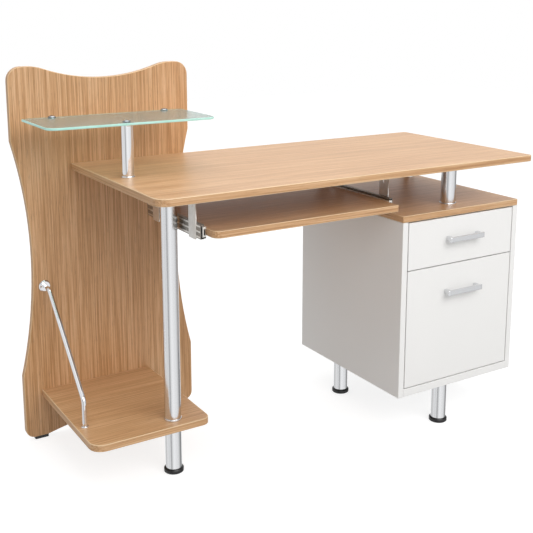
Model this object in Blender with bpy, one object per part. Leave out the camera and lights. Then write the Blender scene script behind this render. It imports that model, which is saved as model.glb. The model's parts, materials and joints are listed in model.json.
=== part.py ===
# Computer desk with keyboard tray, side panel, glass shelf and drawer pedestal.
# Millimetres in this file, metres in the scene. X runs along the desk, Y to its back, Z up.
# The drawing's zero is the desktop's front left corner on the floor; originX and originY
# move it to the middle of the whole desk's footprint.
import math

import bmesh
import bpy
from mathutils import Vector

MM = 0.001
GAP = 0.3                     # clearance between touching pieces

# Driving dimensions
DESK_WIDTH = 1150.0
DESK_DEPTH = 550.0
DESK_HEIGHT = 760.0
BOARD = 18.0                  # laminated chipboard
BOARD_EDGE = 1.0              # rounding of the white edge banding
OAK_EDGE = 1.6                # rounding of the oak edge banding
TUBE_RADIUS = 21.0            # leg tubes and pedestal posts
TUBE_WALL = 1.5
ROUND = 32                    # sides of a round piece

PANEL_CENTRE = 95.0
PANEL_TOP_HALF = 253.0
PANEL_BOTTOM_HALF = 252.0
PANEL_WAIST_HALF = 211.5
PANEL_WAIST_Z = 508.0
PANEL_TOP_KINK_Z = 828.0
PANEL_BOTTOM_KINK_Z = 187.0
PANEL_DIP_Z = 985.0           # lowest point of the hollow top edge
PANEL_DIP_RADIUS = 480.0
PANEL_CREST_RADIUS = 112.0
PANEL_CREST_ANGLE = 19.6      # degrees from the dip to the crest
PANEL_TOP_CORNER = 36.0
PANEL_FOOT_Z = 8.0
PANEL_FOOT_CORNER = 24.0
PANEL_FOOT_INNER = 190.0      # where the arch under the panel starts
PANEL_ARCH_RISE = 25.0
GLIDE_OFFSET = 209.0          # pads under the panel, from its middle
GLIDE_HALF = 19.0

SHELF_LEFT = -109.0
SHELF_RIGHT = 206.0
SHELF_FRONT = 160.0
SHELF_TOP = 142.0
LEG_X = 119.0
LEG_Y = 203.0
FOOT_RADIUS = 25.5

GLASS_LEFT = -149.0
GLASS_RIGHT = 290.0
GLASS_FRONT = 266.0
GLASS_BACK = 478.0
GLASS_TOP = 895.0
GLASS_THICK = 6.0
GLASS_POST_X = 52.0
GLASS_POST_Y = 287.0
GLASS_POST_RADIUS = 15.0
ARM_X = (-75.0, 235.0)         # arms under the glass, from the panel
ARM_Y = 464.0
ARM_RADIUS = 5.0
ARM_DROP = 15.0               # from the glass down to the arm
ARM_ROSE = 10.0               # radius of the plate against the panel
ARM_PAD = 10.0                # radius of the pad under the glass
ARM_BEND = 9.0
CAP_RADIUS = 10.0

ROD_X = -88.0
ROD_TOP_Z = 434.0
ROD_FOOT_Y = 275.0
ROD_LOW_BEND_Z = 212.0
ROD_RADIUS = 6.0

TRAY_LEFT = 159.2
TRAY_RIGHT = 706.0
TRAY_FRONT = 40.0
TRAY_DEPTH = 320.0
TRAY_TOP = 660.0
SLIDE_HEIGHT = 35.0
SLIDE_FRONT = 86.0
SLIDE_LENGTH = 300.0
SLIDE_SPACE = 14.2            # from the tray's edge to the hanger's face
SHEET = 1.2                   # sheet steel of the runners
HANGER_THICK = 2.0
HANGER_WIDTH = 38.0
HANGER_FLANGE = 22.0
HANGER_FOOT_Z = 629.0
HANGER_FRONT_Y = (106.0, 310.0)

PED_LEFT = 720.0
PED_RIGHT = 1144.0
PED_FRONT = 39.0
PED_BACK = 513.0
PED_BOTTOM = 115.0
PED_BASE = 22.0               # bottom board, between the sides
PED_TOP_UNDER = 609.0
FRONT_GAP = 3.0
UPPER_FRONT = (474.5, 605.5)
LOWER_FRONT = (140.0, 471.5)
UPPER_BOX = (483.0, 575.0)
LOWER_BOX = (156.0, 388.0)
BOX_BOARD = 12.0
BOX_BOTTOM = 4.0
BOX_DEPTH = 400.0
RUNNER_SPACE = 13.0
HANDLE_HALF = 63.0
HANDLE_INSET = 5.0             # from the end of the bar to its foot
HANDLE_FOOT = 9.0
HANDLE_REACH = 25.0
HANDLE_BAR = 8.0
HANDLE_HEIGHT = 14.0
UPPER_HANDLE_Z = 547.0
LOWER_HANDLE_Z = 396.0
PED_LEGS = {"front": (893.0, 66.0), "rear_left": (770.0, 372.0), "rear_right": (1104.0, 372.0)}
PED_POSTS = {"front": (936.0, 105.0), "rear_left": (770.0, 478.0), "rear_right": (1104.0, 478.0)}

panelBack = DESK_DEPTH + BOARD
originX = (PANEL_CENTRE - PANEL_TOP_HALF + DESK_WIDTH) / 2
originY = panelBack / 2


def clearScene():
    for old in list(bpy.data.objects):
        bpy.data.objects.remove(old, do_unlink=True)


def finish(name, colour, roughness, metallic=0.0, transmission=0.0):
    material = bpy.data.materials.new(name)
    material.use_nodes = True
    shader = material.node_tree.nodes["Principled BSDF"]
    shader.inputs["Base Color"].default_value = (*colour, 1.0)
    shader.inputs["Roughness"].default_value = roughness
    shader.inputs["Metallic"].default_value = metallic
    shader.inputs["Transmission Weight"].default_value = transmission
    material.diffuse_color = (*colour, 1.0)
    return material


def place(name, mesh, material, pivot, smooth=False):
    """Turns a bmesh drawn in millimetres into an object whose origin is the pivot."""
    pivot = Vector(pivot)
    bmesh.ops.remove_doubles(mesh, verts=mesh.verts, dist=0.001)
    bmesh.ops.recalc_face_normals(mesh, faces=mesh.faces)
    for vert in mesh.verts:
        vert.co = (vert.co - pivot) * MM
    data = bpy.data.meshes.new(name)
    mesh.to_mesh(data)
    mesh.free()
    data.materials.append(material)
    if smooth:
        data.shade_smooth()
        data.set_sharp_from_angle(angle=math.radians(35))
    piece = bpy.data.objects.new(name, data)
    piece.location = (pivot - Vector((originX, originY, 0))) * MM
    bpy.context.collection.objects.link(piece)
    return piece


def arc(centreA, centreB, radius, start, end, steps):
    """Points on a circle from one angle to another, in degrees, both ends included."""
    points = []
    for step in range(steps + 1):
        angle = math.radians(start + (end - start) * step / steps)
        points.append((centreA + radius * math.cos(angle), centreB + radius * math.sin(angle)))
    return points


def rounded(a0, a1, b0, b1, radii, steps=5):
    """A rectangle with its own radius at each corner: low-low, high-low, high-high, low-high."""
    corners = ((a0, b0, 1, 1, 180), (a1, b0, -1, 1, 270), (a1, b1, -1, -1, 0), (a0, b1, 1, -1, 90))
    points = []
    for (a, b, inA, inB, start), radius in zip(corners, radii):
        if radius:
            points += arc(a + inA * radius, b + inB * radius, radius, start, start + 90, steps)
        else:
            points.append((a, b))
    return points


def prism(name, material, outline, plane, low, high, pivot, edge=0.0):
    """An outline drawn in one plane and extruded across it, with its rims rounded by edge."""
    lift = {"XY": lambda a, b, c: (a, b, c), "XZ": lambda a, b, c: (a, c, b),
            "YZ": lambda a, b, c: (c, a, b)}[plane]
    across = {"XY": 2, "XZ": 1, "YZ": 0}[plane]
    mesh = bmesh.new()
    base = mesh.faces.new([mesh.verts.new(lift(a, b, low)) for a, b in outline])
    grown = bmesh.ops.extrude_face_region(mesh, geom=[base])
    moved = [item for item in grown["geom"] if isinstance(item, bmesh.types.BMVert)]
    shift = Vector((0, 0, 0))
    shift[across] = high - low
    bmesh.ops.translate(mesh, vec=shift, verts=moved)
    if edge:
        rims = [e for e in mesh.edges if abs(e.verts[0].co[across] - e.verts[1].co[across]) < 0.001]
        bmesh.ops.bevel(mesh, geom=rims, offset=edge, offset_type="OFFSET", segments=2,
                        profile=0.5, affect="EDGES", clamp_overlap=True)
    return place(name, mesh, material, pivot)


def turned(name, material, profile, centre, axis="Z", loop=False, sides=ROUND):
    """A profile of (radius, distance) points turned about an axis through the centre."""
    centre = Vector(centre)
    mesh = bmesh.new()
    rings = []
    for radius, along in profile:
        count = sides if radius > 0 else 1
        ring = []
        for side in range(count):
            angle = 2 * math.pi * side / count
            across = (radius * math.cos(angle), radius * math.sin(angle))
            point = (*across, along) if axis == "Z" else (across[0], along, across[1])
            ring.append(mesh.verts.new(centre + Vector(point)))
        rings.append(ring)
    pairs = list(zip(rings, rings[1:]))
    if loop:
        pairs.append((rings[-1], rings[0]))
    for lower, upper in pairs:
        for side in range(sides):
            after = (side + 1) % sides
            corners = [lower[side % len(lower)], lower[after % len(lower)],
                       upper[after % len(upper)], upper[side % len(upper)]]
            mesh.faces.new(list(dict.fromkeys(corners)))
    return place(name, mesh, material, centre, smooth=True)


def tube(name, material, x, y, low, high, radius=TUBE_RADIUS, wall=TUBE_WALL):
    profile = [(radius, low), (radius, high), (radius - wall, high), (radius - wall, low)]
    return turned(name, material, profile, (x, y, 0), loop=True)


def sweep(name, material, path, radii, pivot, sides=16):
    """A round bar along a path that lies in one plane of constant X."""
    mesh = bmesh.new()
    rings = []
    side = Vector((1, 0, 0))
    for number, (point, radius) in enumerate(zip(path, radii)):
        before = Vector(path[max(number - 1, 0)])
        after = Vector(path[min(number + 1, len(path) - 1)])
        along = (after - before).normalized()
        up = along.cross(side)
        ring = []
        for step in range(sides):
            angle = 2 * math.pi * step / sides
            offset = side * (radius * math.cos(angle)) + up * (radius * math.sin(angle))
            ring.append(mesh.verts.new(Vector(point) + offset))
        rings.append(ring)
    for lower, upper in zip(rings, rings[1:]):
        for step in range(sides):
            after = (step + 1) % sides
            mesh.faces.new((lower[step], lower[after], upper[after], upper[step]))
    mesh.faces.new(rings[0])
    mesh.faces.new(rings[-1])
    return place(name, mesh, material, pivot, smooth=True)


def bentPath(corners, radius, steps=6):
    """Corner points joined by straight runs and round bends of one radius."""
    points = [Vector(corners[0])]
    for before, corner, after in zip(corners, corners[1:], corners[2:]):
        corner = Vector(corner)
        back = (Vector(before) - corner).normalized()
        on = (Vector(after) - corner).normalized()
        half = back.angle(on) / 2
        centre = corner + (back + on).normalized() * (radius / math.sin(half))
        start = corner + back * (radius / math.tan(half)) - centre
        end = corner + on * (radius / math.tan(half)) - centre
        turn = start.angle(end)
        for step in range(steps + 1):
            share = step / steps
            points.append(centre + (start * math.sin((1 - share) * turn)
                                    + end * math.sin(share * turn)) / math.sin(turn))
    points.append(Vector(corners[-1]))
    return points


def panelOutline():
    """Right half of the hourglass panel from the arch under it to the dip on top, then mirrored."""
    archHalf = PANEL_FOOT_INNER
    archRadius = (archHalf ** 2 + PANEL_ARCH_RISE ** 2) / (2 * PANEL_ARCH_RISE)
    archAngle = math.degrees(math.asin(archHalf / archRadius))
    archCentre = PANEL_FOOT_Z + PANEL_ARCH_RISE - archRadius
    half = arc(0, archCentre, archRadius, 90, 90 - archAngle, 8)
    half += arc(PANEL_BOTTOM_HALF - PANEL_FOOT_CORNER, PANEL_FOOT_Z + PANEL_FOOT_CORNER,
                PANEL_FOOT_CORNER, -90, 0, 5)
    half += waist(PANEL_BOTTOM_HALF, PANEL_BOTTOM_KINK_Z, 9)
    half += list(reversed(waist(PANEL_TOP_HALF, PANEL_TOP_KINK_Z, 10)))[1:]
    crest = math.radians(PANEL_CREST_ANGLE)
    crestZ = PANEL_DIP_Z + (PANEL_DIP_RADIUS + PANEL_CREST_RADIUS) * (1 - math.cos(crest))
    crestX = (PANEL_DIP_RADIUS + PANEL_CREST_RADIUS) * math.sin(crest)
    half += arc(PANEL_TOP_HALF - PANEL_TOP_CORNER, crestZ - PANEL_TOP_CORNER,
                PANEL_TOP_CORNER, 0, 90, 7)
    half += arc(crestX, crestZ - PANEL_CREST_RADIUS, PANEL_CREST_RADIUS,
                90, 90 + PANEL_CREST_ANGLE, 4)
    half += arc(0, PANEL_DIP_Z + PANEL_DIP_RADIUS, PANEL_DIP_RADIUS,
                -90 + PANEL_CREST_ANGLE, -90, 8)[1:]
    other = [(-a, b) for a, b in reversed(half) if a > 0.001]
    return [(PANEL_CENTRE + a, b) for a, b in half + other]


def waist(outerHalf, outerZ, steps):
    """The hollow side between the waist and one kink, as part of a circle, kink first."""
    rise = outerZ - PANEL_WAIST_Z
    hollow = outerHalf - PANEL_WAIST_HALF
    radius = (rise ** 2 + hollow ** 2) / (2 * hollow)
    reach = math.degrees(math.asin(rise / radius))
    return arc(PANEL_WAIST_HALF + radius, PANEL_WAIST_Z, radius, 180 - reach, 180, steps)


def channel(x0, x1, z0, z1, wall, opensRight, lip=0.0):
    """A C section between x0 and x1, open to one side, with lips turned in at the opening."""
    left, right = (x0, x1) if opensRight else (x1, x0)
    inward = wall if opensRight else -wall
    shape = [(left, z0), (right, z0)]
    if lip:
        shape += [(right, z0 + wall + lip), (right - inward, z0 + wall + lip)]
        shape += [(right - inward, z0 + wall)]
    else:
        shape += [(right, z0 + wall)]
    shape += [(left + inward, z0 + wall), (left + inward, z1 - wall)]
    if lip:
        shape += [(right - inward, z1 - wall), (right - inward, z1 - wall - lip)]
        shape += [(right, z1 - wall - lip)]
    else:
        shape += [(right, z1 - wall)]
    shape += [(right, z1), (left, z1)]
    return shape


def makeBoards(oak, black):
    top = DESK_HEIGHT - BOARD
    prism("desktop", oak, rounded(0, DESK_WIDTH, 0, DESK_DEPTH - GAP, (30, 8, 8, 4)), "XY",
          top, DESK_HEIGHT, (DESK_WIDTH / 2, DESK_DEPTH / 2, top), OAK_EDGE)
    prism("back_panel", oak, panelOutline(), "XZ", DESK_DEPTH, panelBack,
          (PANEL_CENTRE, DESK_DEPTH, PANEL_FOOT_Z), OAK_EDGE)
    shelf = rounded(SHELF_LEFT, SHELF_RIGHT, SHELF_FRONT, DESK_DEPTH - GAP, (34, 22, 2, 2))
    prism("cpu_shelf", oak, shelf, "XY", SHELF_TOP - BOARD, SHELF_TOP,
          (LEG_X, LEG_Y, SHELF_TOP), OAK_EDGE)
    for side, x in (("left", PANEL_CENTRE - GLIDE_OFFSET), ("right", PANEL_CENTRE + GLIDE_OFFSET)):
        low, high = DESK_DEPTH + 1, panelBack - 1
        pad = rounded(x - GLIDE_HALF, x + GLIDE_HALF, low, high, (4, 4, 4, 4), 4)
        prism("panel_glide_" + side, black, pad, "XY", 0, PANEL_FOOT_Z - GAP, (x, low, 0), 0.8)


def makeLeg(steel, black):
    tube("leg_tube_upper", steel, LEG_X, LEG_Y, SHELF_TOP + GAP, DESK_HEIGHT - BOARD - GAP)
    tube("leg_tube_lower", steel, LEG_X, LEG_Y, 12 + GAP, SHELF_TOP - BOARD - GAP)
    foot("leg_foot", black, LEG_X, LEG_Y)


def foot(name, black, x, y):
    """A levelling foot: a rounded pad with a plug that stands inside the tube."""
    plug = TUBE_RADIUS - TUBE_WALL - GAP
    profile = [(0, 0), (FOOT_RADIUS - 1.5, 0), (FOOT_RADIUS, 1.5), (FOOT_RADIUS, 9),
               (FOOT_RADIUS - 1.5, 11), (TUBE_RADIUS, 12), (plug, 12), (plug, 28), (0, 28)]
    return turned(name, black, profile, (x, y, 0))


def makeGlass(glass, chrome):
    shelf = rounded(GLASS_LEFT, GLASS_RIGHT, GLASS_FRONT, GLASS_BACK, (24, 24, 6, 6))
    low = GLASS_TOP - GLASS_THICK
    middle = (GLASS_LEFT + GLASS_RIGHT) / 2
    prism("glass_shelf", glass, shelf, "XY", low, GLASS_TOP, (middle, GLASS_BACK, low), 0.8)
    tube("glass_post", chrome, GLASS_POST_X, GLASS_POST_Y, DESK_HEIGHT + GAP, low - GAP,
         GLASS_POST_RADIUS)
    cap = [(0, 0), (CAP_RADIUS, 0), (CAP_RADIUS, 2.5), (CAP_RADIUS - 2, 4.5), (0, 5.2)]
    capZ = GLASS_TOP + GAP
    turned("glass_post_cap", chrome, cap, (GLASS_POST_X, GLASS_POST_Y, capZ), sides=24)
    for side, x in zip(("left", "right"), ARM_X):
        armZ = low - ARM_DROP
        plate = DESK_DEPTH - 5
        bend = bentPath([(x, plate - 0.2, armZ), (x, ARM_Y, armZ), (x, ARM_Y, low - 4)], ARM_BEND)
        path = [(x, DESK_DEPTH - GAP, armZ), (x, plate, armZ), *bend]
        path += [(x, ARM_Y, low - 3.8), (x, ARM_Y, low - GAP)]
        radii = [ARM_ROSE] * 2 + [ARM_RADIUS] * len(bend) + [ARM_PAD] * 2
        sweep("glass_arm_" + side, chrome, path, radii, (x, DESK_DEPTH, armZ))
        turned("glass_arm_cap_" + side, chrome, cap, (x, ARM_Y, capZ), sides=24)


def makeGuardRod(chrome):
    corners = [(ROD_X, DESK_DEPTH - GAP, ROD_TOP_Z), (ROD_X, DESK_DEPTH - 42, ROD_TOP_Z),
               (ROD_X, ROD_FOOT_Y, ROD_LOW_BEND_Z), (ROD_X, ROD_FOOT_Y, SHELF_TOP + GAP)]
    path = bentPath(corners, 26)
    sweep("guard_rod", chrome, path, [ROD_RADIUS] * len(path), corners[-1])
    hole = ROD_RADIUS + GAP
    ring = [(hole, -GAP), (16, -GAP), (16, -3), (13, -6), (hole, -6)]
    turned("guard_rod_rosette", chrome, ring, (ROD_X, DESK_DEPTH, ROD_TOP_Z), "Y", loop=True)


def makeTray(oak, zinc):
    """The keyboard tray between two ball slides, each held by two straps under the desktop."""
    low = TRAY_TOP - BOARD
    pivot = ((TRAY_LEFT + TRAY_RIGHT) / 2, TRAY_FRONT, low)
    shape = rounded(TRAY_LEFT, TRAY_RIGHT, TRAY_FRONT, TRAY_FRONT + TRAY_DEPTH, (22, 6, 3, 3))
    prism("keyboard_tray", oak, shape, "XY", low, TRAY_TOP, pivot, OAK_EDGE)
    middleZ = TRAY_TOP - BOARD / 2
    slideZ = (middleZ - SLIDE_HEIGHT / 2, middleZ + SLIDE_HEIGHT / 2)
    for side, edge, out in (("left", TRAY_LEFT, -1), ("right", TRAY_RIGHT, 1)):
        face = edge + out * SLIDE_SPACE
        x0, x1 = sorted((face - out * GAP, edge + out * 4.5))
        prism("tray_slide_outer_" + side, zinc, channel(x0, x1, *slideZ, SHEET, out < 0, 2.0), "XZ",
              SLIDE_FRONT, SLIDE_FRONT + SLIDE_LENGTH, (face, SLIDE_FRONT, middleZ))
        x0, x1 = sorted((edge + out * GAP, edge + out * 10.5))
        inner = channel(x0, x1, slideZ[0] + 5, slideZ[1] - 5, SHEET, out > 0)
        prism("tray_slide_inner_" + side, zinc, inner, "XZ",
              SLIDE_FRONT - 2, SLIDE_FRONT + SLIDE_LENGTH - 12, (edge, TRAY_FRONT, middleZ))
        for spot, y in zip(("front", "rear"), HANGER_FRONT_Y):
            makeHanger(f"tray_hanger_{spot}_{side}", zinc, face, out, y)


def makeHanger(name, zinc, face, out, y):
    """An L strap: a leg down the outside of the slide and a flange screwed under the desktop."""
    top = DESK_HEIGHT - BOARD - GAP
    back = face + out * HANGER_THICK
    flange = face + out * HANGER_FLANGE
    shape = [(face, HANGER_FOOT_Z), (back, HANGER_FOOT_Z), (back, top - HANGER_THICK),
             (flange, top - HANGER_THICK), (flange, top), (face, top)]
    prism(name, zinc, shape, "XZ", y, y + HANGER_WIDTH, (face, y, top))


def makePedestal(white, oak, steel, black):
    bottomTop = PED_BOTTOM + PED_BASE
    between = (PED_LEFT + BOARD + GAP, PED_RIGHT - BOARD - GAP)
    prism("pedestal_bottom", white, rounded(*between, PED_FRONT, PED_BACK, (0, 0, 0, 0)), "XY",
          PED_BOTTOM, bottomTop, (PED_LEFT, PED_FRONT, PED_BOTTOM), BOARD_EDGE)
    footprint = rounded(PED_LEFT, PED_RIGHT, PED_FRONT, PED_BACK, (3, 3, 3, 3), 3)
    prism("pedestal_top", oak, footprint, "XY", PED_TOP_UNDER, PED_TOP_UNDER + BOARD,
          (PED_LEFT, PED_FRONT, PED_TOP_UNDER), OAK_EDGE)
    wall = rounded(PED_FRONT, PED_BACK, PED_BOTTOM, PED_TOP_UNDER - GAP, (0, 0, 0, 0))
    for side, x in (("left", PED_LEFT), ("right", PED_RIGHT - BOARD)):
        prism("pedestal_side_" + side, white, wall, "YZ", x, x + BOARD,
              (x, PED_FRONT, PED_BOTTOM), BOARD_EDGE)
    inside = rounded(*between, bottomTop + GAP, PED_TOP_UNDER - GAP, (0, 0, 0, 0))
    prism("pedestal_back", white, inside, "XZ", PED_BACK - 14, PED_BACK - 2,
          (PED_LEFT, PED_BACK, bottomTop))
    for spot, (x, y) in PED_LEGS.items():
        tube("pedestal_leg_" + spot, steel, x, y, 12 + GAP, PED_BOTTOM - GAP)
        foot("pedestal_foot_" + spot, black, x, y)
    for spot, (x, y) in PED_POSTS.items():
        tube("pedestal_post_" + spot, steel, x, y, PED_TOP_UNDER + BOARD + GAP,
             DESK_HEIGHT - BOARD - GAP)


def makeDrawer(name, frontZ, boxZ, handleZ, white, grey, zinc, aluminium):
    """A drawer: inset front, four-board box, bar handle and a pair of runners."""
    left = PED_LEFT + BOARD
    right = PED_RIGHT - BOARD
    middle = (left + right) / 2
    pivot = (middle, PED_FRONT, frontZ[0])
    face = rounded(left + FRONT_GAP, right - FRONT_GAP, *frontZ, (0, 0, 0, 0))
    prism(name + "_front", white, face, "XZ", PED_FRONT, PED_FRONT + BOARD, pivot, BOARD_EDGE)
    boxFront = PED_FRONT + BOARD + GAP
    boxBack = boxFront + BOX_DEPTH
    for side, x in (("left", left + RUNNER_SPACE), ("right", right - RUNNER_SPACE - BOX_BOARD)):
        prism(f"{name}_side_{side}", grey, rounded(boxFront, boxBack, *boxZ, (0, 0, 0, 0)), "YZ",
              x, x + BOX_BOARD, pivot)
    inLeft = left + RUNNER_SPACE + BOX_BOARD + GAP
    inRight = right - RUNNER_SPACE - BOX_BOARD - GAP
    prism(name + "_back", grey, rounded(inLeft, inRight, boxZ[0], boxZ[1] - 6, (0, 0, 0, 0)), "XZ",
          boxBack - BOX_BOARD, boxBack, pivot)
    floorTop = boxZ[0] - GAP
    prism(name + "_bottom", grey, rounded(left + RUNNER_SPACE, right - RUNNER_SPACE,
                                          boxFront, boxBack, (0, 0, 0, 0)), "XY",
          floorTop - BOX_BOTTOM, floorTop, pivot)
    makeHandle(name + "_handle", aluminium, middle, handleZ)
    runnerTop = floorTop - BOX_BOTTOM - GAP
    for side, wall, inward in (("left", left, 1), ("right", right, -1)):
        x0, x1 = sorted((wall + inward * GAP, wall + inward * (RUNNER_SPACE - 2.2)))
        section = channel(x0, x1, runnerTop - 8, runnerTop + 26, SHEET, inward > 0)
        prism(f"{name}_runner_fixed_{side}", zinc, section, "XZ", boxFront + 3, boxBack - 4,
              (wall, PED_FRONT, runnerTop))
        web = wall + inward * (RUNNER_SPACE - GAP)
        out = web - inward * SHEET
        tip = web + inward * 16
        angle = [(out, runnerTop - SHEET), (tip, runnerTop - SHEET), (tip, runnerTop),
                 (web, runnerTop), (web, runnerTop + 22), (out, runnerTop + 22)]
        prism(f"{name}_runner_sliding_{side}", zinc, angle, "XZ", boxFront, boxBack - 6, pivot)


def makeHandle(name, aluminium, x, z):
    """A bar standing off the front on two feet, cut from one U shape."""
    back = PED_FRONT - GAP
    front = PED_FRONT - HANDLE_REACH
    inner = front + HANDLE_BAR
    footHalf = HANDLE_HALF - HANDLE_INSET
    footInner = footHalf - HANDLE_FOOT
    outer = rounded(x - HANDLE_HALF, x + HANDLE_HALF, front, inner, (4, 4, 0, 0), 4)
    left, right = outer[:5], outer[5:10]
    shape = left + right + [(x + HANDLE_HALF, inner), (x + footHalf, inner), (x + footHalf, back),
                            (x + footInner, back), (x + footInner, inner),
                            (x - footInner, inner), (x - footInner, back),
                            (x - footHalf, back), (x - footHalf, inner), (x - HANDLE_HALF, inner)]
    prism(name, aluminium, shape, "XY", z - HANDLE_HEIGHT / 2, z + HANDLE_HEIGHT / 2,
          (x, PED_FRONT, z), 1.2)


clearScene()
oakLaminate = finish("oak laminate", (0.62, 0.40, 0.22), 0.45)
whiteLaminate = finish("white laminate", (0.83, 0.82, 0.80), 0.35)
greyBoard = finish("drawer board", (0.70, 0.69, 0.66), 0.55)
satinSteel = finish("satin steel tube", (0.72, 0.73, 0.74), 0.28, 1.0)
chromeSteel = finish("chrome", (0.80, 0.81, 0.82), 0.10, 1.0)
zincSteel = finish("zinc plated steel", (0.60, 0.60, 0.59), 0.38, 1.0)
satinAluminium = finish("satin aluminium", (0.78, 0.78, 0.79), 0.30, 1.0)
blackPlastic = finish("black plastic", (0.02, 0.02, 0.02), 0.45)
frostedGlass = finish("frosted glass", (0.72, 0.88, 0.86), 0.35, transmission=0.8)

makeBoards(oakLaminate, blackPlastic)
makeLeg(satinSteel, blackPlastic)
makeGlass(frostedGlass, chromeSteel)
makeGuardRod(chromeSteel)
makeTray(oakLaminate, zincSteel)
makePedestal(whiteLaminate, oakLaminate, satinSteel, blackPlastic)
makeDrawer("upper_drawer", UPPER_FRONT, UPPER_BOX, UPPER_HANDLE_Z,
           whiteLaminate, greyBoard, zincSteel, satinAluminium)
makeDrawer("lower_drawer", LOWER_FRONT, LOWER_BOX, LOWER_HANDLE_Z,
           whiteLaminate, greyBoard, zincSteel, satinAluminium)
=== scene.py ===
# A computer desk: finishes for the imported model, and the small fittings that go on it.
import json
import math

import bmesh
import bpy
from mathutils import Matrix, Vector


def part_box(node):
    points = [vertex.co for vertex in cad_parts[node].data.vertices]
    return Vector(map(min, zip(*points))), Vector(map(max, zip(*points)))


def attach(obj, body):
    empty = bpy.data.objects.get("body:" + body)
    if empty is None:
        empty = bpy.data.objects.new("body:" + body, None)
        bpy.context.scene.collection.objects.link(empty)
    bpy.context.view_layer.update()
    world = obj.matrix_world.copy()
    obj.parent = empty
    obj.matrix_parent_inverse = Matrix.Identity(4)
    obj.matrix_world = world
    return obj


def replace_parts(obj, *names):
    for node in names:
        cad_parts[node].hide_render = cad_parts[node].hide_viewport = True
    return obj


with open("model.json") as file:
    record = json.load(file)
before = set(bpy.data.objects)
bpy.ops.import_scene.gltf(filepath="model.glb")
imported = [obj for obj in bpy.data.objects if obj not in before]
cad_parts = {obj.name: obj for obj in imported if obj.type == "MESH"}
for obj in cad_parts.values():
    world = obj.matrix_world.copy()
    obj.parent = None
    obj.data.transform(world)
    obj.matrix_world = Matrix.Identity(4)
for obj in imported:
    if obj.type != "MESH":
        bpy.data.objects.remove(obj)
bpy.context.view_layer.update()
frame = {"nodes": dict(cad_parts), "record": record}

mm = 0.001
nodes = frame["nodes"]
print("frame loaded,", len(nodes), "nodes")


def hexColour(code):
    # an sRGB hex code turned to linear colour
    parts = [int(code[place:place + 2], 16) / 255 for place in (1, 3, 5)]
    return (*(c / 12.92 if c <= 0.04045 else ((c + 0.055) / 1.055) ** 2.4 for c in parts), 1.0)


def addNode(tree, kind, settings, links=None):
    # numbers and socket names set inputs, any other name is one of the node's own settings
    node = tree.nodes.new("ShaderNode" + kind)
    for name, value in settings.items():
        if isinstance(name, int) or name in node.inputs:
            node.inputs[name].default_value = value
        else:
            setattr(node, name, value)
    for name, source in (links or {}).items():
        tree.links.new(source, node.inputs[name])
    return node


def startMaterial(name, sockets):
    material = bpy.data.materials.new(name)
    material.use_nodes = True
    tree = material.node_tree
    shader = tree.nodes["Principled BSDF"]
    for socket, value in sockets.items():
        shader.inputs[socket].default_value = value
    return material, tree, shader


# Oak laminate is a printed foil on chipboard: long streaks along the grain, short pores, satin.
oak = {"streakWidth": 3.4 * mm, "streakLength": 230 * mm, "streakDetail": 4.0,
       "bandWidth": 48 * mm, "bandLength": 900 * mm, "bandDetail": 3.0, "bandDark": 0.96, "bandLight": 1.03,
       "poreWidth": 2.0 * mm, "poreLength": 34 * mm,    # real pores are 0.3 mm wide, drawn coarser to show
       "poreDetail": 2.0, "poreFrom": 0.58, "poreTo": 0.66, "poreDepth": 0.06 * mm, "poreRelief": 0.35,
       "darkAt": 0.36, "midAt": 0.5, "lightAt": 0.64, "glossy": 0.37, "dull": 0.5,
       "coat": 0.1, "coatRoughness": 0.3, "endFrom": 0.72, "rimFrom": 0.35, "rimTo": 0.97}
# each look's rim colour is a painted highlight along the rounded board edges
deskOak = {"dark": "#B3855A", "mid": "#C99D71", "light": "#D9B28A", "pore": 0.84, "rim": "#E0C39C"}
shelfOak = {"dark": "#B88A5D", "mid": "#CC9F72", "light": "#DBB388", "pore": 0.84, "rim": "#E4C79F"}
panelOak = {"dark": "#B08152", "mid": "#CA9B6D", "light": "#DCB289", "pore": 0.78, "rim": "#DDB98C"}


def streaks(tree, spot, isEnd, grain, endGrain, width, length, detail):
    # noise drawn out along the grain, which turns on the faces that cut the grain off
    scales = []
    for along in (grain, endGrain):
        scales.append([1 / length if axis == along else 1 / width for axis in "XYZ"])
    scale = addNode(tree, "Mix", {"data_type": "VECTOR", 4: scales[0], 5: scales[1]}, {0: isEnd})
    drawn = addNode(tree, "VectorMath", {"operation": "MULTIPLY"}, {0: spot, 1: scale.outputs[1]})
    noise = addNode(tree, "TexNoise", {"Scale": 1.0, "Detail": detail, "Roughness": 0.6},
                    {"Vector": drawn.outputs[0]})
    return noise.outputs["Fac"]


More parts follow.
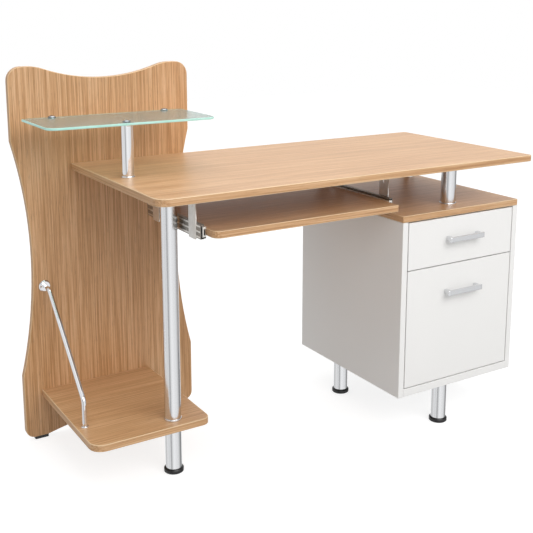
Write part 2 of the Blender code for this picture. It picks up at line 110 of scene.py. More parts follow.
def makeOak(name, look, grain, endGrain, thick):
    material, tree, shader = startMaterial(name, {"IOR": 1.5, "Coat Weight": oak["coat"],
                                                  "Coat Roughness": oak["coatRoughness"]})
    coords = addNode(tree, "TexCoord", {})
    facing = addNode(tree, "SeparateXYZ", {}, {0: coords.outputs["Normal"]})
    ends = addNode(tree, "Math", {"operation": "ABSOLUTE"}, {0: facing.outputs[grain]})
    isEnd = addNode(tree, "Math", {"operation": "GREATER_THAN", 1: oak["endFrom"]}, {0: ends.outputs[0]})
    args = (tree, coords.outputs["Object"], isEnd.outputs[0], grain, endGrain)
    fine = streaks(*args, oak["streakWidth"], oak["streakLength"], oak["streakDetail"])
    band = streaks(*args, oak["bandWidth"], oak["bandLength"], oak["bandDetail"])
    pore = streaks(*args, oak["poreWidth"], oak["poreLength"], oak["poreDetail"])
    ramp = addNode(tree, "ValToRGB", {}, {0: fine})
    stops = ramp.color_ramp.elements
    stops[0].position, stops[0].color = oak["darkAt"], hexColour(look["dark"])
    stops[1].position, stops[1].color = oak["lightAt"], hexColour(look["light"])
    stops.new(oak["midAt"]).color = hexColour(look["mid"])
    shade = addNode(tree, "MapRange", {1: 0.3, 2: 0.7, 3: oak["bandDark"], 4: oak["bandLight"]}, {0: band})
    multiply = {"data_type": "RGBA", "blend_type": "MULTIPLY", 0: 1.0}
    banded = addNode(tree, "Mix", multiply, {6: ramp.outputs[0], 7: shade.outputs[0]})
    pores = addNode(tree, "MapRange", {1: oak["poreFrom"], 2: oak["poreTo"], 3: 1.0, 4: look["pore"]},
                    {0: pore})
    printed = addNode(tree, "Mix", multiply, {6: banded.outputs[2], 7: pores.outputs[0]})
    # painted highlight: the rounded rim of the edge band is drawn as a pale line, standing in for the light it
    # catches
    flat = addNode(tree, "Math", {"operation": "ABSOLUTE"}, {0: facing.outputs[thick]})
    above = addNode(tree, "Math", {"operation": "GREATER_THAN", 1: oak["rimFrom"]}, {0: flat.outputs[0]})
    below = addNode(tree, "Math", {"operation": "LESS_THAN", 1: oak["rimTo"]}, {0: flat.outputs[0]})
    rim = addNode(tree, "Math", {"operation": "MULTIPLY"}, {0: above.outputs[0], 1: below.outputs[0]})
    paintedRimHighlight = addNode(tree, "Mix", {"data_type": "RGBA", 7: hexColour(look["rim"])},
                   {0: rim.outputs[0], 6: printed.outputs[2]})
    tree.links.new(paintedRimHighlight.outputs[2], shader.inputs["Base Color"])
    rough = addNode(tree, "MapRange", {1: 0.3, 2: 0.7, 3: oak["glossy"], 4: oak["dull"]}, {0: fine})
    tree.links.new(rough.outputs[0], shader.inputs["Roughness"])
    relief = addNode(tree, "Bump", {"Strength": oak["poreRelief"], "Distance": oak["poreDepth"]},
                     {"Height": pores.outputs[0]})
    tree.links.new(relief.outputs[0], shader.inputs["Normal"])
    return material


melamine = {"pebble": 2.5 * mm,    # the real pebble is 0.5 mm, drawn coarser to show
            "pebbleRelief": 0.15, "cloud": 180 * mm, "darkest": 0.975, "glossier": 0.05, "duller": 0.07}


def makeMelamine(name, colour, roughness, peel):
    # pressed melamine: an even colour with a faint pebble in the gloss
    material, tree, shader = startMaterial(name, {"IOR": 1.5, "Roughness": roughness})
    spot = addNode(tree, "TexCoord", {}).outputs["Object"]
    pebble = addNode(tree, "TexNoise", {"Scale": 1 / melamine["pebble"], "Detail": 2.0}, {"Vector": spot})
    cloud = addNode(tree, "TexNoise", {"Scale": 1 / melamine["cloud"], "Detail": 3.0}, {"Vector": spot})
    tone = addNode(tree, "ValToRGB", {}, {0: cloud.outputs["Fac"]})
    base = hexColour(colour)
    tone.color_ramp.elements[0].color = tuple(c * melamine["darkest"] for c in base[:3]) + (1.0,)
    tone.color_ramp.elements[1].color = base
    tree.links.new(tone.outputs[0], shader.inputs["Base Color"])
    gloss = addNode(tree, "MapRange", {3: roughness - melamine["glossier"], 4: roughness + melamine["duller"]},
                    {0: cloud.outputs["Fac"]})
    tree.links.new(gloss.outputs[0], shader.inputs["Roughness"])
    bump = addNode(tree, "Bump", {"Strength": melamine["pebbleRelief"], "Distance": peel},
                   {"Height": pebble.outputs["Fac"]})
    tree.links.new(bump.outputs[0], shader.inputs["Normal"])
    return material


def makeMetal(name, colour, roughness, spread, linesPerMetre):
    # polished or drawn metal: the gloss changes a little along fine lines, drawn coarser than real
    material, tree, shader = startMaterial(name, {"Metallic": 1.0, "Base Color": hexColour(colour)})
    spot = addNode(tree, "TexCoord", {}).outputs["Object"]
    drawn = addNode(tree, "VectorMath", {"operation": "MULTIPLY", 1: linesPerMetre}, {0: spot})
    lines = addNode(tree, "TexNoise", {"Scale": 1.0, "Detail": 3.0}, {"Vector": drawn.outputs[0]})
    gloss = addNode(tree, "MapRange", {1: 0.25, 2: 0.75, 3: roughness - spread, 4: roughness + spread},
                    {0: lines.outputs["Fac"]})
    tree.links.new(gloss.outputs[0], shader.inputs["Roughness"])
    return material


zinc = {"cloud": 14 * mm, "detail": 4.0, "darkAt": 0.3, "lightAt": 0.7, "glossy": 0.34, "dull": 0.42}


def makeZinc(name, dark, light):
    # zinc plated sheet: grey and a little cloudy
    material, tree, shader = startMaterial(name, {"Metallic": 1.0})
    spot = addNode(tree, "TexCoord", {}).outputs["Object"]
    cloud = addNode(tree, "TexNoise", {"Scale": 1 / zinc["cloud"], "Detail": zinc["detail"]}, {"Vector": spot})
    tone = addNode(tree, "ValToRGB", {}, {0: cloud.outputs["Fac"]})
    stops = tone.color_ramp.elements
    stops[0].position, stops[0].color = zinc["darkAt"], hexColour(dark)
    stops[1].position, stops[1].color = zinc["lightAt"], hexColour(light)
    tree.links.new(tone.outputs[0], shader.inputs["Base Color"])
    gloss = addNode(tree, "MapRange", {3: zinc["glossy"], 4: zinc["dull"]}, {0: cloud.outputs["Fac"]})
    tree.links.new(gloss.outputs[0], shader.inputs["Roughness"])
    return material


plastic = {"grain": 1.2 * mm,    # the real spark-eroded grain is 0.1 mm, drawn coarser to show
           "grainRelief": 0.2, "grainDepth": 0.05 * mm}


def makePlastic(name, colour, roughness):
    # injection moulded: a gloss broken by a fine grain
    material, tree, shader = startMaterial(name, {"Base Color": hexColour(colour), "IOR": 1.49,
                                                  "Roughness": roughness})
    spot = addNode(tree, "TexCoord", {}).outputs["Object"]
    grain = addNode(tree, "TexNoise", {"Scale": 1 / plastic["grain"], "Detail": 2.0}, {"Vector": spot})
    bump = addNode(tree, "Bump", {"Strength": plastic["grainRelief"], "Distance": plastic["grainDepth"]},
                   {"Height": grain.outputs["Fac"]})
    tree.links.new(bump.outputs[0], shader.inputs["Normal"])
    return material


frosting = {"colour": "#D3E6E0", "letThrough": 0.88, "etch": 1.5 * mm, "glossy": 0.18, "dull": 0.32}


def makeFrosted():
    # acid etched toughened glass: light gets through, shapes behind it blur
    material, tree, shader = startMaterial("frostedGlass", {
        "Base Color": hexColour(frosting["colour"]), "IOR": 1.5,
        "Transmission Weight": frosting["letThrough"], "Roughness": 0.22})
    spot = addNode(tree, "TexCoord", {}).outputs["Object"]
    etch = addNode(tree, "TexNoise", {"Scale": 1 / frosting["etch"], "Detail": 3.0}, {"Vector": spot})
    gloss = addNode(tree, "MapRange", {3: frosting["glossy"], 4: frosting["dull"]}, {0: etch.outputs["Fac"]})
    tree.links.new(gloss.outputs[0], shader.inputs["Roughness"])
    return material


# glow and glowStrength are a painted glow on the glass edge
polish = {"dark": "#9FDACD", "light": "#D3F5EE", "glow": "#A6E6DA", "glowStrength": 0.16,
          "letThrough": 0.25, "roughness": 0.12, "wave": 30 * mm}


def makeGlassEdge():
    # the polished edge is aqua, with a painted glow: it gives off a faint aqua light of its own, standing in
    # for light gathered through the sheet
    material, tree, shader = startMaterial("polishedGlassEdge", {
        "IOR": 1.5, "Roughness": polish["roughness"], "Transmission Weight": polish["letThrough"],
        "Emission Color": hexColour(polish["glow"]), "Emission Strength": polish["glowStrength"]})
    spot = addNode(tree, "TexCoord", {}).outputs["Object"]
    wave = addNode(tree, "TexNoise", {"Scale": 1 / polish["wave"], "Detail": 2.0}, {"Vector": spot})
    tone = addNode(tree, "ValToRGB", {}, {0: wave.outputs["Fac"]})
    tone.color_ramp.elements[0].color = hexColour(polish["dark"])
    tone.color_ramp.elements[1].color = hexColour(polish["light"])
    tree.links.new(tone.outputs[0], shader.inputs["Base Color"])
    return material


deskFoil = makeOak("oakFoilDesktop", deskOak, "X", "Y", "Z")
shelfFoil = makeOak("oakFoilShelf", shelfOak, "X", "Y", "Z")
panelFoil = makeOak("oakFoilPanel", panelOak, "Z", "X", "Y")
whiteMelamine = makeMelamine("whiteMelamine", "#F1F0EE", 0.34, 0.05 * mm)
drawerMelamine = makeMelamine("greyDrawerMelamine", "#D9D7D2", 0.5, 0.06 * mm)
tubeChrome = makeMetal("satinChromeTube", "#E3E4E6", 0.2, 0.04, (900, 900, 3))    # lines 1.1 mm apart
brightChrome = makeMetal("brightChrome", "#E8E9EB", 0.07, 0.02, (300, 300, 300))
# the caps' chrome is a darker copy of the post's chrome: painted shade for the darker reflections the caps show
shadedChromeCaps = makeMetal("chromeCapsPaintedShade", "#A4A8AB", 0.12, 0.02, (300, 300, 300))
brushedAluminium = makeMetal("brushedAluminium", "#DCDDDF", 0.22, 0.05, (6, 700, 700))    # 1.4 mm apart
zincSteel = makeZinc("zincPlatedSteel", "#DAD7D1", "#E8E5E0")
rolledSteel = makeZinc("zincPlatedRail", "#8F8B85", "#A6A29B")
blackPlastic = makePlastic("blackPolypropylene", "#151516", 0.3)
whitePlastic = makePlastic("whiteCoverCaps", "#ECEBE8", 0.35)
frostedGlass = makeFrosted()
glassEdge = makeGlassEdge()

finishOf = {"desktop": deskFoil, "back_panel": panelFoil, "cpu_shelf": shelfFoil,
            "keyboard_tray": deskFoil, "pedestal_top": deskFoil,
            "glass_post_cap": shadedChromeCaps, "glass_arm_cap_left": shadedChromeCaps, "glass_arm_cap_right": shadedChromeCaps,
            "tray_slide_outer_left": rolledSteel, "tray_slide_outer_right": rolledSteel}
finishOfSlot = {"oak_laminate": deskFoil, "white_laminate": whiteMelamine, "drawer_board": drawerMelamine,
                "satin_steel": tubeChrome, "chrome": brightChrome, "zinc_steel": zincSteel,
                "satin_aluminium": brushedAluminium, "black_plastic": blackPlastic,
                "frosted_glass": frostedGlass}
slotOf = {part["node"]: part["material_slot"] for part in frame["record"]["subparts"]}
for name, piece in nodes.items():
    finish = finishOf.get(name, finishOfSlot[slotOf[name]])
    for slot in piece.material_slots:
        slot.material = finish
    if not piece.material_slots:
        piece.data.materials.append(finish)
print("finishes on")


sharpAngle = math.radians(32)


def addPiece(name, mesh, materials, body):
    bmesh.ops.recalc_face_normals(mesh, faces=mesh.faces)
    data = bpy.data.meshes.new(name)
    mesh.to_mesh(data)
    mesh.free()
    for material in materials:
        data.materials.append(material)
    data.shade_smooth()
    data.set_sharp_from_angle(angle=sharpAngle)
    piece = bpy.data.objects.new(name, data)
    bpy.context.collection.objects.link(piece)
    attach(piece, body)
    return piece


crossPinch = 0.38    # how far in the flanks of a cross recess lie, as a share of its radius


def lathe(mesh, profile, centre, axis="Z", ring=False, sides=40, star=()):
    # turns (radius, along) points about an axis; the points numbered in star get a cross-shaped ring
    order = {"Z": (0, 1, 2), "Y": (0, 2, 1), "X": (1, 2, 0)}[axis]
    loops = []
    for place, (radius, along) in enumerate(profile):
        loop = []
        for side in range(sides if radius > 0 else 1):
            angle = 2 * math.pi * side / sides
            pinched = place in star and side % (sides // 4) != 0
            reach = radius * crossPinch if pinched else radius
            point = Vector((0, 0, 0))
            for number, distance in zip(order, (reach * math.cos(angle), reach * math.sin(angle), along)):
                point[number] = distance
            loop.append(mesh.verts.new(Vector(centre) + point))
        loops.append(loop)
    pairs = list(zip(loops, loops[1:]))
    if ring:
        pairs.append((loops[-1], loops[0]))
    for lower, upper in pairs:
        for side in range(sides):
            after = (side + 1) % sides
            corners = [lower[side % len(lower)], lower[after % len(lower)],
                       upper[after % len(upper)], upper[side % len(upper)]]
            mesh.faces.new(list(dict.fromkeys(corners)))


def collarProfile(inner, outer, low, high, soften):
    return [(inner, low), (outer, low), (outer, high - soften), (outer - soften * 0.4, high - soften * 0.3),
            (outer - soften, high), (inner, high)]


def screwProfile(radius, height):
    # a domed head, and the recess at its middle
    return [(0, 0), (radius, 0), (radius, height * 0.35), (radius * 0.85, height * 0.72),
            (radius * 0.6, height * 0.95), (radius * 0.5, height),
            (radius * 0.42, height * 0.45), (0, height * 0.4)]


def buttonProfile(radius, height, shoulder):
    # a flat push-in cover with a sloping rim
    return [(0, 0), (radius, 0), (radius, height * 0.5), (radius * shoulder, height), (0, height)]


def addBlock(mesh, low, high, bevel):
    made = bmesh.ops.create_cube(mesh, size=1.0)
    middle = (Vector(low) + Vector(high)) / 2
    size = Vector(high) - Vector(low)
    for vert in made["verts"]:
        vert.co = Vector([middle[n] + vert.co[n] * size[n] for n in range(3)])
    edges = {edge for vert in made["verts"] for edge in vert.link_edges}
    bmesh.ops.bevel(mesh, geom=list(edges), offset=bevel, segments=3, profile=0.5, affect="EDGES")


def arcPoints(x, y, radius, start, sweep, steps):
    angles = [math.radians(start + sweep * step / steps) for step in range(steps + 1)]
    return [(x + radius * math.cos(angle), y + radius * math.sin(angle)) for angle in angles]


def middleOf(name):
    low, high = (Vector(corner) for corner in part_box(name))
    return low, high, (low + high) / 2


# The tubes are drawn again round and smooth, and get collars, a plate and screws. The last six
# entries are collars, each with its thickness and height.
tubes = {"wall": 1.5 * mm, "rounding": 0.4 * mm, "sides": 96, "collarSides": 56, "clear": 0.15 * mm,
         "plateRadius": 44 * mm, "plateThick": 3 * mm, "screwCircle": 34 * mm, "screwRadius": 4 * mm,
         "screwHeight": 2.2 * mm, "screwGap": 0.05 * mm, "screwSides": 24,
         "shelfCollar": (1.4 * mm, 5 * mm), "glassBase": (2.0 * mm, 3 * mm), "glassHead": (1.2 * mm, 2.5 * mm),
         "postPlate": (3 * mm, 2.5 * mm), "postBase": (2 * mm, 3 * mm), "legCollar": (1.6 * mm, 3 * mm)}
recess = (5, 6)    # the points of a screw's profile that make its cross recess


def addCollar(name, tube, slot, finish, atTop, radius, thick, height):
    low, high, middle = middleOf(tube)
    tubeRadius = (high.x - low.x) / 2 + tubes["clear"]
    mesh = bmesh.new()
    base = high.z - height if atTop else low.z
    profile = collarProfile(tubeRadius, radius or tubeRadius + thick, 0, height, min(height, thick) * 0.5)
    if atTop:
        profile = [(r, height - z) for r, z in profile]
    lathe(mesh, profile, (middle.x, middle.y, base), ring=True, sides=tubes["collarSides"])
    addPiece(name, mesh, [finish], "desk")


def drawTube(node, finish):
    low, high, middle = middleOf(node)
    rounding = tubes["rounding"]
    outer = (high.x - low.x) / 2
    inner = outer - tubes["wall"]
    height = high.z - low.z
    profile = [(inner, 0), (outer - rounding, 0), (outer, rounding), (outer, height - rounding),
               (outer - rounding, height), (inner, height)]
    mesh = bmesh.new()
    lathe(mesh, profile, (middle.x, middle.y, low.z), ring=True, sides=tubes["sides"])
    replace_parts(addPiece(node + "_drawn", mesh, [finish], "desk"), node)


def addPlateScrews(name, tube):
    low, high, middle = middleOf(tube)
    profile = [(r, -z) for r, z in screwProfile(tubes["screwRadius"], tubes["screwHeight"])]
    mesh = bmesh.new()
    for corner in range(4):
        angle = math.radians(45 + 90 * corner)
        spot = (middle.x + tubes["screwCircle"] * math.cos(angle),
                middle.y + tubes["screwCircle"] * math.sin(angle),
                high.z - tubes["plateThick"] - tubes["screwGap"])
        lathe(mesh, profile, spot, sides=tubes["screwSides"], star=recess)
    addPiece(name, mesh, [zincSteel], "desk")


for node in ("leg_tube_upper", "leg_tube_lower"):
    drawTube(node, tubeChrome)
drawTube("glass_post", brightChrome)
addCollar("legTopPlate", "leg_tube_upper", "satin_steel", tubeChrome, True,
          tubes["plateRadius"], 0, tubes["plateThick"])
addPlateScrews("legTopScrews", "leg_tube_upper")
addCollar("legShelfCollar", "leg_tube_upper", "satin_steel", tubeChrome, False, None, *tubes["shelfCollar"])
addCollar("legUnderShelfCollar", "leg_tube_lower", "satin_steel", tubeChrome, True, None,
          *tubes["shelfCollar"])
addCollar("glassPostBase", "glass_post", "chrome", brightChrome, False, None, *tubes["glassBase"])
addCollar("glassPostHead", "glass_post", "chrome", brightChrome, True, None, *tubes["glassHead"])
for spot in ("front", "rear_left", "rear_right"):
    post, leg = "pedestal_post_" + spot, "pedestal_leg_" + spot
    drawTube(post, tubeChrome)
    drawTube(leg, tubeChrome)
    addCollar("postTopPlate_" + spot, post, "satin_steel", tubeChrome, True, None, *tubes["postPlate"])
    addCollar("postBaseCollar_" + spot, post, "satin_steel", tubeChrome, False, None, *tubes["postBase"])
    addCollar("pedLegCollar_" + spot, leg, "satin_steel", tubeChrome, True, None, *tubes["legCollar"])

rod = {"radius": 6 * mm, "hole": 6.15 * mm, "collarRadius": 9.5 * mm, "collarHeight": 3 * mm,
       "soften": 1.2 * mm}
low, high, middle = middleOf("guard_rod")
collar = bmesh.new()
lathe(collar, collarProfile(rod["hole"], rod["collarRadius"], 0, rod["collarHeight"], rod["soften"]),
      (middle.x, low.y + rod["radius"], low.z), ring=True)
addPiece("rodShelfCollar", collar, [brightChrome], "desk")
print("tube fittings made")


# The glass shelf has frosted faces and a polished edge, and each of its caps has a hexagon socket.
glass = {"cornerFront": 24 * mm, "cornerBack": 6 * mm, "cornerSteps": 10, "arris": 0.9 * mm}
socket = [(0, -0.3 * mm), (3.6 * mm, -0.3 * mm), (3.6 * mm, 0.12 * mm), (3.0 * mm, 0.3 * mm),
          (2.6 * mm, 0.14 * mm), (0, 0.1 * mm)]


def roundedOutline(x0, x1, y0, y1, front, back):
    points = []
    for x, y, inX, inY, start, radius in ((x0, y0, 1, 1, 180, front), (x1, y0, -1, 1, 270, front),
                                          (x1, y1, -1, -1, 0, back), (x0, y1, 1, -1, 90, back)):
        points += arcPoints(x + inX * radius, y + inY * radius, radius, start, 90, glass["cornerSteps"])
    return points


low, high, middle = middleOf("glass_shelf")
arris = glass["arris"]
sheet = bmesh.new()
outline = roundedOutline(low.x, high.x, low.y, high.y, glass["cornerFront"], glass["cornerBack"])
rings = []
for inset, z in ((arris, low.z), (0, low.z + arris), (0, high.z - arris), (arris, high.z)):
    shrinkX = 1 - 2 * inset / (high.x - low.x)
    shrinkY = 1 - 2 * inset / (high.y - low.y)
    ring = []
    for x, y in outline:
        spot = (middle.x + (x - middle.x) * shrinkX, middle.y + (y - middle.y) * shrinkY, z)
        ring.append(sheet.verts.new(spot))
    rings.append(ring)
for lower, upper in zip(rings, rings[1:]):
    for number in range(len(outline)):
        after = (number + 1) % len(outline)
        face = sheet.faces.new((lower[number], lower[after], upper[after], upper[number]))
        face.material_index = 1
sheet.faces.new(list(reversed(rings[0])))
sheet.faces.new(rings[-1])
glassSheet = addPiece("frostedShelf", sheet, [frostedGlass, glassEdge], "desk")
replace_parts(glassSheet, "glass_shelf")
for name in ("glass_post_cap", "glass_arm_cap_left", "glass_arm_cap_right"):
    low, high, middle = middleOf(name)
    key = bmesh.new()
    lathe(key, socket, (middle.x, middle.y, high.z), sides=6)
    addPiece(name + "_key", key, [blackPlastic], "desk")
print("glass made")


# The straps that hang the tray's slides: a pierced plate, and a screwed flange at its top.
strap = {"thick": 2 * mm, "cornerRadius": 5 * mm, "cornerSteps": 6, "edge": 0.2 * mm,
         "slotWidth": 5 * mm, "slotLength": 13 * mm, "slotDrop": 32 * mm, "slotSteps": 8,
         "gap": 0.02 * mm, "bevel": 0.5 * mm,
         "screwRadius": 3.6 * mm, "screwHeight": 2 * mm, "screwShares": (0.28, 0.72)}


def stadium(y, z, width, length):
    points = []
    for sign, start in ((1, 0), (-1, 180)):
        points += arcPoints(y, z + sign * (length - width) / 2, width / 2, start, 180, strap["slotSteps"])
    return points


def addStrap(node, outward):
    low, high, middle = middleOf(node)
    thick, radius = strap["thick"], strap["cornerRadius"]
    face = high.x - thick if outward < 0 else low.x
    outline = [(low.y, high.z), (low.y, low.z + radius)]
    for start, y in ((180, low.y + radius), (270, high.y - radius)):
        outline += arcPoints(y, low.z + radius, radius, start, 90, strap["cornerSteps"])[1:]
    outline.append((high.y, high.z))
    hole = stadium(middle.y, high.z - strap["slotDrop"], strap["slotWidth"], strap["slotLength"])
    curve = bpy.data.curves.new(node + "_plate", "CURVE")
    curve.dimensions = "2D"
    curve.fill_mode = "BOTH"
    curve.extrude = thick / 2 - strap["edge"]
    curve.bevel_depth = strap["edge"]
    curve.bevel_resolution = 1
    for points in (outline, hole):
        spline = curve.splines.new("POLY")
        spline.points.add(len(points) - 1)
        for point, (y, z) in zip(spline.points, points):
            point.co = (y - middle.y, z - middle.z, 0, 1)
        spline.use_cyclic_u = True
    curve.materials.append(zincSteel)
    plate = bpy.data.objects.new(node + "_plate", curve)
    plate.rotation_euler = (math.radians(90), 0, math.radians(90))
    plate.location = (face + thick / 2, middle.y, middle.z)
    bpy.context.collection.objects.link(plate)
    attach(plate, "desk")
    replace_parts(plate, node)
    flange = bmesh.new()
    inner, outer = (high.x, low.x) if outward < 0 else (low.x, high.x)
    x0, x1 = sorted((inner + outward * (thick + strap["gap"]), outer))
    addBlock(flange, (x0, low.y, high.z - thick), (x1, high.y, high.z), strap["bevel"])
    profile = [(r, -z) for r, z in screwProfile(strap["screwRadius"], strap["screwHeight"])]
    for share in strap["screwShares"]:
        spot = ((x0 + x1) / 2, low.y + (high.y - low.y) * share, high.z - thick - strap["gap"])
        lathe(flange, profile, spot, sides=tubes["screwSides"], star=recess)
    addPiece(node + "_flange", flange, [zincSteel], "desk")


# Slide fittings: a bumper and ribs on the fixed rail, and a latch, an end plate and a black strip on that plate
# that come out with the tray; the strip is painted shade of the slot into the channel, partly the black bumper
# seen there.
# Pairs are offsets from the rail's or the sliding member's own corners.
slide = {"bumperX": (1.3 * mm, 2.9 * mm), "bumperY": (0.6 * mm, 14 * mm), "bumperHalf": 7 * mm,
         "latchX": (0.8 * mm, -1.0 * mm), "latchY": (-2.5 * mm, 16 * mm), "latchZ": (-2.4 * mm, -0.1 * mm),
         "plateInX": 0.3 * mm, "plateInZ": 0.4 * mm, "plateY": (-1.3 * mm, 0.2 * mm),
         "darkSlotHalf": 1.5 * mm, "darkSlotY": (-2.7 * mm, -1.2 * mm), "darkSlotTall": 7.5 * mm,
         "ribX": (-0.2 * mm, 0.9 * mm), "ribY": (2 * mm, -4 * mm), "ribHalf": 2.2 * mm,
         "ribs": (-13 * mm, 0, 13 * mm), "rivets": (0.3, 0.62, 0.9), "rivetRadius": 3.0 * mm,
         "rivetHeight": 1.1 * mm, "rivetGap": 0.05 * mm, "rivetSides": 20,
         "bevel": 0.5 * mm, "thinBevel": 0.4 * mm}


def addSlideBlock(name, low, high, bevel, finish, body):
    mesh = bmesh.new()
    addBlock(mesh, low, high, bevel)
    addPiece(name, mesh, [finish], body)


def addSlideFittings(side, outward):
    low, high, middle = middleOf("tray_slide_outer_" + side)
    inLow, inHigh, inMiddle = middleOf("tray_slide_inner_" + side)
    web = low.x if outward < 0 else high.x
    x0, x1 = sorted(web - outward * depth for depth in slide["bumperX"])
    addSlideBlock("slideBumper_" + side,
                  (x0, low.y + slide["bumperY"][0], middle.z - slide["bumperHalf"]),
                  (x1, low.y + slide["bumperY"][1], middle.z + slide["bumperHalf"]),
                  slide["bevel"], blackPlastic, "desk")
    (latchLow, latchHigh), (latchFront, latchBack) = slide["latchX"], slide["latchY"]
    addSlideBlock("slideLatch_" + side,
                  (inLow.x + latchLow, inLow.y + latchFront, inLow.z + slide["latchZ"][0]),
                  (inHigh.x + latchHigh, inLow.y + latchBack, inLow.z + slide["latchZ"][1]),
                  slide["bevel"], blackPlastic, "tray")
    addSlideBlock("slideEndPlate_" + side,
                  (inLow.x + slide["plateInX"], inLow.y + slide["plateY"][0], inLow.z + slide["plateInZ"]),
                  (inHigh.x - slide["plateInX"], inLow.y + slide["plateY"][1], inHigh.z - slide["plateInZ"]),
                  slide["thinBevel"], zincSteel, "tray")
    # a black strip down the end plate: painted shade of the slot into the channel, partly the black bumper seen
    # there
    half, tall = slide["darkSlotHalf"], slide["darkSlotTall"]
    addSlideBlock("slideEndDarkSlot_" + side,
                  (inMiddle.x - half, inLow.y + slide["darkSlotY"][0], middle.z - tall),
                  (inMiddle.x + half, inLow.y + slide["darkSlotY"][1], middle.z + tall),
                  slide["bevel"], blackPlastic, "tray")
    ribs = bmesh.new()
    x0, x1 = sorted(web + outward * depth for depth in slide["ribX"])
    for offset in slide["ribs"]:
        addBlock(ribs, (x0, low.y + slide["ribY"][0], middle.z + offset - slide["ribHalf"]),
                 (x1, high.y + slide["ribY"][1], middle.z + offset + slide["ribHalf"]), slide["thinBevel"])
    profile = [(r, outward * z) for r, z in screwProfile(slide["rivetRadius"], slide["rivetHeight"])]
    for share in slide["rivets"]:
        spot = (web + outward * slide["rivetGap"], low.y + (high.y - low.y) * share, middle.z)
        lathe(ribs, profile, spot, axis="X", sides=slide["rivetSides"])
    addPiece("slideRibs_" + side, ribs, [zincSteel], "desk")


for side, outward in (("left", -1), ("right", 1)):
    for spot in ("front", "rear"):
        addStrap(f"tray_hanger_{spot}_{side}", outward)
    addSlideFittings(side, outward)
print("tray fittings made")


# Push-in screw covers on the back of the panel, at the height of the board that meets it there.
covers = {"radius": 6.5 * mm, "height": 0.9 * mm, "shoulder": 0.85, "gap": 0.03 * mm, "sides": 28,
          "deskX": (-0.44, -0.34, -0.22), "shelfX": (-0.56, -0.36)}
panelHigh = middleOf("back_panel")[1]
coverProfile = buttonProfile(covers["radius"], covers["height"], covers["shoulder"])
coverMesh = bmesh.new()
for places, board in ((covers["deskX"], "desktop"), (covers["shelfX"], "cpu_shelf")):
    boardMiddle = middleOf(board)[2]
    for x in places:
        spot = (x, panelHigh.y + covers["gap"], boardMiddle.z)
        lathe(coverMesh, coverProfile, spot, axis="Y", sides=covers["sides"])
addPiece("panelScrewCovers", coverMesh, [panelFoil], "desk")

# White ones on the pedestal's right side, near its corners.
caps = {"radius": 6 * mm, "height": 0.8 * mm, "shoulder": 0.8, "gap": 0.02 * mm, "sides": 28,
        "inset": 45 * mm, "fromEnd": 9 * mm}
low, high, middle = middleOf("pedestal_side_right")
capProfile = buttonProfile(caps["radius"], caps["height"], caps["shoulder"])
capMesh = bmesh.new()
for y in (low.y + caps["inset"], high.y - caps["inset"]):
    for z in (low.z + caps["fromEnd"], high.z - caps["fromEnd"]):
        lathe(capMesh, capProfile, (high.x + caps["gap"], y, z), axis="X", sides=caps["sides"])
addPiece("pedestalScrewCovers", capMesh, [whitePlastic], "desk")
print("covers made")


# The studio. The floor is brighter to the camera than the light it gives off, and the chrome sees
# grey card at a few bearings: each card is a bearing in degrees and a brightness.
studio = {"floorSize": 16.0, "floorDrop": 0.2 * mm, "floorRoughness": 0.9, "floorGlow": 0.78,
          "floorSeen": 0.34, "floorBounce": 0.46, "ambient": 0.65, "seam": 0.8,
          "cards": ((-160, 0.94), (-150, 0.42), (-139, 0.5), (-128, 0.95), (-105, 1.08), (-80, 0.98),
                    (-50, 0.92), (-30, 0.72), (-12, 0.36), (5, 0.27), (20, 0.3), (38, 1.06),
                    (88, 1.02), (108, 0.6), (141, 0.8), (158, 0.96))}
softboxes = {
    "keySoftbox": {"place": (0.2, -2.9, 2.6), "target": (0, 0, 0.5), "width": 3.2, "height": 2.2, "power": 72},
    "topSoftbox": {"place": (0.2, 0.3, 3.4), "target": (0.1, 0, 0.5), "width": 3.0, "height": 2.2, "power": 34}}
camera = {"place": (-1.2852, -2.0150, 1.1724), "heading": 31.543, "tilt": 11.02, "lens": 60.65,
          "shift": -0.162, "sensor": 36.0}


def greyOf(value):
    return (value,) * 3 + (1,)


def makeFloor():
    bpy.ops.mesh.primitive_plane_add(size=studio["floorSize"], location=(0, 0, -studio["floorDrop"]))
    floor = bpy.context.object
    floor.name = "studioFloor"
    material, tree, shader = startMaterial("paintedFloor", {"Roughness": studio["floorRoughness"],
                                                            "Emission Color": (1, 1, 1, 1)})
    toCamera = addNode(tree, "LightPath", {}).outputs["Is Camera Ray"]
    tone = addNode(tree, "Mix", {2: studio["floorBounce"], 3: studio["floorSeen"]}, {0: toCamera})
    glow = addNode(tree, "Mix", {2: 0.0, 3: studio["floorGlow"]}, {0: toCamera})
    tree.links.new(tone.outputs[0], shader.inputs["Base Color"])
    tree.links.new(glow.outputs[0], shader.inputs["Emission Strength"])
    floor.data.materials.append(material)
    floor.visible_glossy = False


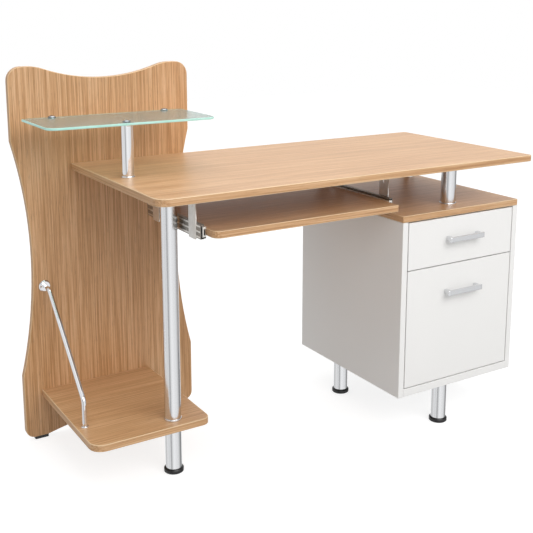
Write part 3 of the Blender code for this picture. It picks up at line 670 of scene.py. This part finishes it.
def makeWorld():
    # white to the camera, grey card to reflections, and an even pale grey to everything else
    world = bpy.data.worlds.new("paleStudio")
    bpy.context.scene.world = world
    world.use_nodes = True
    tree = world.node_tree
    coords = addNode(tree, "TexCoord", {})
    parts = addNode(tree, "SeparateXYZ", {}, {0: coords.outputs["Generated"]})
    bearing = addNode(tree, "Math", {"operation": "ARCTAN2"}, {0: parts.outputs["Y"], 1: parts.outputs["X"]})
    share = addNode(tree, "MapRange", {1: -math.pi, 2: math.pi}, {0: bearing.outputs[0]})
    cards = addNode(tree, "ValToRGB", {}, {0: share.outputs[0]})
    stops = cards.color_ramp.elements
    stops[0].position, stops[0].color = 0.0, greyOf(studio["seam"])
    stops[1].position, stops[1].color = 1.0, greyOf(studio["seam"])
    for degrees, value in studio["cards"]:
        stops.new((degrees + 180) / 360).color = greyOf(value)
    rays = addNode(tree, "LightPath", {})
    glossy = addNode(tree, "Mix", {"data_type": "RGBA", 6: greyOf(studio["ambient"])},
                     {0: rays.outputs["Is Glossy Ray"], 7: cards.outputs[0]})
    seen = addNode(tree, "Mix", {"data_type": "RGBA", 7: (1, 1, 1, 1)},
                   {0: rays.outputs["Is Camera Ray"], 6: glossy.outputs[2]})
    tree.links.new(seen.outputs[2], tree.nodes["Background"].inputs["Color"])


def addLight(name, place, target, width, height, power):
    data = bpy.data.lights.new(name, "AREA")
    data.shape = "RECTANGLE"
    data.size, data.size_y = width, height
    data.energy = power
    lamp = bpy.data.objects.new(name, data)
    lamp.location = place
    lamp.rotation_euler = (Vector(target) - Vector(place)).to_track_quat("-Z", "Y").to_euler()
    bpy.context.collection.objects.link(lamp)


def makeCamera():
    data = bpy.data.cameras.new("studioCamera")
    data.sensor_width = camera["sensor"]
    data.lens = camera["lens"]
    data.shift_y = camera["shift"]
    holder = bpy.data.objects.new("studioCamera", data)
    holder.location = camera["place"]
    holder.rotation_euler = (math.radians(90 - camera["tilt"]), 0, math.radians(-camera["heading"]))
    bpy.context.collection.objects.link(holder)
    bpy.context.scene.camera = holder


makeFloor()
makeWorld()
for name, box in softboxes.items():
    addLight(name, **box)
makeCamera()
bpy.context.scene.view_settings.view_transform = "Standard"
print("stage set")
